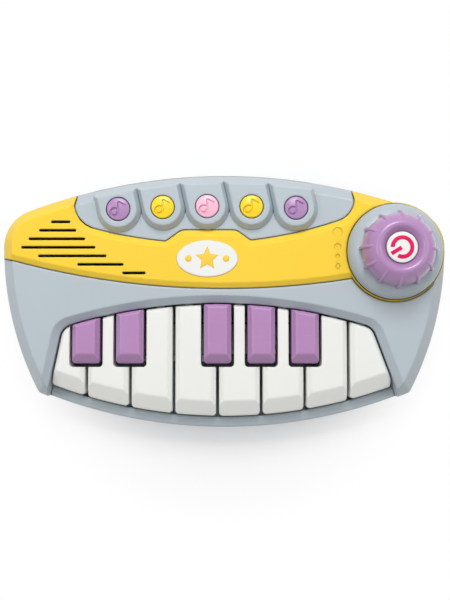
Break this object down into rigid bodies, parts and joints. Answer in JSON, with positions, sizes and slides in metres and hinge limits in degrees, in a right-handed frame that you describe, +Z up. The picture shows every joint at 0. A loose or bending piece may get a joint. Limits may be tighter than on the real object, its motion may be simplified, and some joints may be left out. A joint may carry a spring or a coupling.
{
  "type": "toy piano",
  "caption": "Small battery toy piano with hinged keys in an open recess, round push buttons, a slotted speaker panel and a ribbed turning knob.",
  "frame": {"origin": "middle of the footprint, on the surface that the feet stand on", "axes": "+X to the player's right along the keyboard, +Y to the back, +Z up"},
  "size_m": [0.3, 0.1714, 0.0744],
  "materials": {
    "grey_plastic": "satin moulded plastic, light blue-grey",
    "yellow_plastic": "satin moulded plastic, warm yellow",
    "white_plastic": "satin moulded plastic, off-white",
    "purple_plastic": "satin moulded plastic, lilac purple",
    "pink_plastic": "satin moulded plastic, pale pink",
    "steel": "bright zinc-plated steel",
    "magnet": "ferrite",
    "cone_paper": "pressed paper, black",
    "black_plastic": "moulded plastic, black",
    "circuit_board": "laminate, green",
    "silicone": "translucent silicone rubber",
    "foot_rubber": "soft rubber, dark grey",
    "felt": "pressed felt",
    "cell_wrap": "printed steel can, plain"
  },
  "bodies": {
    "casing": {"upper_shell": "grey_plastic", "lower_shell": "grey_plastic", "button_fascia": "grey_plastic", "knob_bezel": "grey_plastic", "battery_door": "grey_plastic", "control_panel": "yellow_plastic", "label_plate": "white_plastic", "key_pivot_rod": "steel", "speaker_basket": "steel", "board_screws": "steel", "battery_contacts": "steel", "battery_door_screw": "steel", "case_screws": "steel", "speaker_magnet": "magnet", "speaker_cone": "cone_paper", "rotary_switch": "black_plastic", "key_contact_board": "circuit_board", "button_board": "circuit_board", "main_board": "circuit_board", "key_dome_strip": "silicone", "button_dome_sheet": "silicone", "rubber_feet": "foot_rubber", "key_rest_felt": "felt", "battery_cells": "cell_wrap"},
    "white_key_1": {"white_key_1": "white_plastic"},
    "white_key_2": {"white_key_2": "white_plastic"},
    "white_key_3": {"white_key_3": "white_plastic"},
    "white_key_4": {"white_key_4": "white_plastic"},
    "white_key_5": {"white_key_5": "white_plastic"},
    "white_key_6": {"white_key_6": "white_plastic"},
    "white_key_7": {"white_key_7": "white_plastic"},
    "white_key_8": {"white_key_8": "white_plastic"},
    "purple_key_1": {"purple_key_1": "purple_plastic"},
    "purple_key_2": {"purple_key_2": "purple_plastic"},
    "purple_key_3": {"purple_key_3": "purple_plastic"},
    "purple_key_4": {"purple_key_4": "purple_plastic"},
    "purple_key_5": {"purple_key_5": "purple_plastic"},
    "button_1": {"button_1": "purple_plastic"},
    "button_2": {"button_2": "yellow_plastic"},
    "button_3": {"button_3": "pink_plastic"},
    "button_4": {"button_4": "yellow_plastic"},
    "button_5": {"button_5": "purple_plastic"},
    "knob": {"volume_knob": "purple_plastic", "knob_cap": "white_plastic", "switch_shaft": "steel"}
  },
  "joints": [
    {"name": "white_key_1_press", "type": "hinge", "parent": "casing", "child": "white_key_1", "pos_m": [0, 0.016, 0.026], "axis": [1, 0, 0], "range_deg": [0, 2.2], "stiffness_Nm_per_rad": 1, "springref_deg": -1.15, "deforming": ["key_dome_strip"]},
    {"name": "white_key_2_press", "type": "hinge", "parent": "casing", "child": "white_key_2", "pos_m": [0, 0.016, 0.026], "axis": [1, 0, 0], "range_deg": [0, 2.2], "stiffness_Nm_per_rad": 1, "springref_deg": -1.15, "deforming": ["key_dome_strip"]},
    {"name": "white_key_3_press", "type": "hinge", "parent": "casing", "child": "white_key_3", "pos_m": [0, 0.016, 0.026], "axis": [1, 0, 0], "range_deg": [0, 2.2], "stiffness_Nm_per_rad": 1, "springref_deg": -1.15, "deforming": ["key_dome_strip"]},
    {"name": "white_key_4_press", "type": "hinge", "parent": "casing", "child": "white_key_4", "pos_m": [0, 0.016, 0.026], "axis": [1, 0, 0], "range_deg": [0, 2.2], "stiffness_Nm_per_rad": 1, "springref_deg": -1.15, "deforming": ["key_dome_strip"]},
    {"name": "white_key_5_press", "type": "hinge", "parent": "casing", "child": "white_key_5", "pos_m": [0, 0.016, 0.026], "axis": [1, 0, 0], "range_deg": [0, 2.2], "stiffness_Nm_per_rad": 1, "springref_deg": -1.15, "deforming": ["key_dome_strip"]},
    {"name": "white_key_6_press", "type": "hinge", "parent": "casing", "child": "white_key_6", "pos_m": [0, 0.016, 0.026], "axis": [1, 0, 0], "range_deg": [0, 2.2], "stiffness_Nm_per_rad": 1, "springref_deg": -1.15, "deforming": ["key_dome_strip"]},
    {"name": "white_key_7_press", "type": "hinge", "parent": "casing", "child": "white_key_7", "pos_m": [0, 0.016, 0.026], "axis": [1, 0, 0], "range_deg": [0, 2.2], "stiffness_Nm_per_rad": 1, "springref_deg": -1.15, "deforming": ["key_dome_strip"]},
    {"name": "white_key_8_press", "type": "hinge", "parent": "casing", "child": "white_key_8", "pos_m": [0, 0.016, 0.026], "axis": [1, 0, 0], "range_deg": [0, 2.2], "stiffness_Nm_per_rad": 1, "springref_deg": -1.15, "deforming": ["key_dome_strip"]},
    {"name": "purple_key_1_press", "type": "hinge", "parent": "casing", "child": "purple_key_1", "pos_m": [0, 0.016, 0.026], "axis": [1, 0, 0], "range_deg": [0, 2.8], "stiffness_Nm_per_rad": 1, "springref_deg": -1.15, "deforming": ["key_dome_strip"]},
    {"name": "purple_key_2_press", "type": "hinge", "parent": "casing", "child": "purple_key_2", "pos_m": [0, 0.016, 0.026], "axis": [1, 0, 0], "range_deg": [0, 2.8], "stiffness_Nm_per_rad": 1, "springref_deg": -1.15, "deforming": ["key_dome_strip"]},
    {"name": "purple_key_3_press", "type": "hinge", "parent": "casing", "child": "purple_key_3", "pos_m": [0, 0.016, 0.026], "axis": [1, 0, 0], "range_deg": [0, 2.8], "stiffness_Nm_per_rad": 1, "springref_deg": -1.15, "deforming": ["key_dome_strip"]},
    {"name": "purple_key_4_press", "type": "hinge", "parent": "casing", "child": "purple_key_4", "pos_m": [0, 0.016, 0.026], "axis": [1, 0, 0], "range_deg": [0, 2.8], "stiffness_Nm_per_rad": 1, "springref_deg": -1.15, "deforming": ["key_dome_strip"]},
    {"name": "purple_key_5_press", "type": "hinge", "parent": "casing", "child": "purple_key_5", "pos_m": [0, 0.016, 0.026], "axis": [1, 0, 0], "range_deg": [0, 2.8], "stiffness_Nm_per_rad": 1, "springref_deg": -1.15, "deforming": ["key_dome_strip"]},
    {"name": "button_1_press", "type": "slide", "parent": "casing", "child": "button_1", "axis": [0, 0, -1], "range_m": [0, 0.002], "stiffness_N_per_m": 400, "springref_m": -0.001, "deforming": ["button_dome_sheet"]},
    {"name": "button_2_press", "type": "slide", "parent": "casing", "child": "button_2", "axis": [0, 0, -1], "range_m": [0, 0.002], "stiffness_N_per_m": 400, "springref_m": -0.001, "deforming": ["button_dome_sheet"]},
    {"name": "button_3_press", "type": "slide", "parent": "casing", "child": "button_3", "axis": [0, 0, -1], "range_m": [0, 0.002], "stiffness_N_per_m": 400, "springref_m": -0.001, "deforming": ["button_dome_sheet"]},
    {"name": "button_4_press", "type": "slide", "parent": "casing", "child": "button_4", "axis": [0, 0, -1], "range_m": [0, 0.002], "stiffness_N_per_m": 400, "springref_m": -0.001, "deforming": ["button_dome_sheet"]},
    {"name": "button_5_press", "type": "slide", "parent": "casing", "child": "button_5", "axis": [0, 0, -1], "range_m": [0, 0.002], "stiffness_N_per_m": 400, "springref_m": -0.001, "deforming": ["button_dome_sheet"]},
    {"name": "knob_turn", "type": "hinge", "parent": "casing", "child": "knob", "pos_m": [0.1134, 0.032, 0.05], "axis": [0, 0, 1], "range_deg": [-34, 0]}
  ]
}
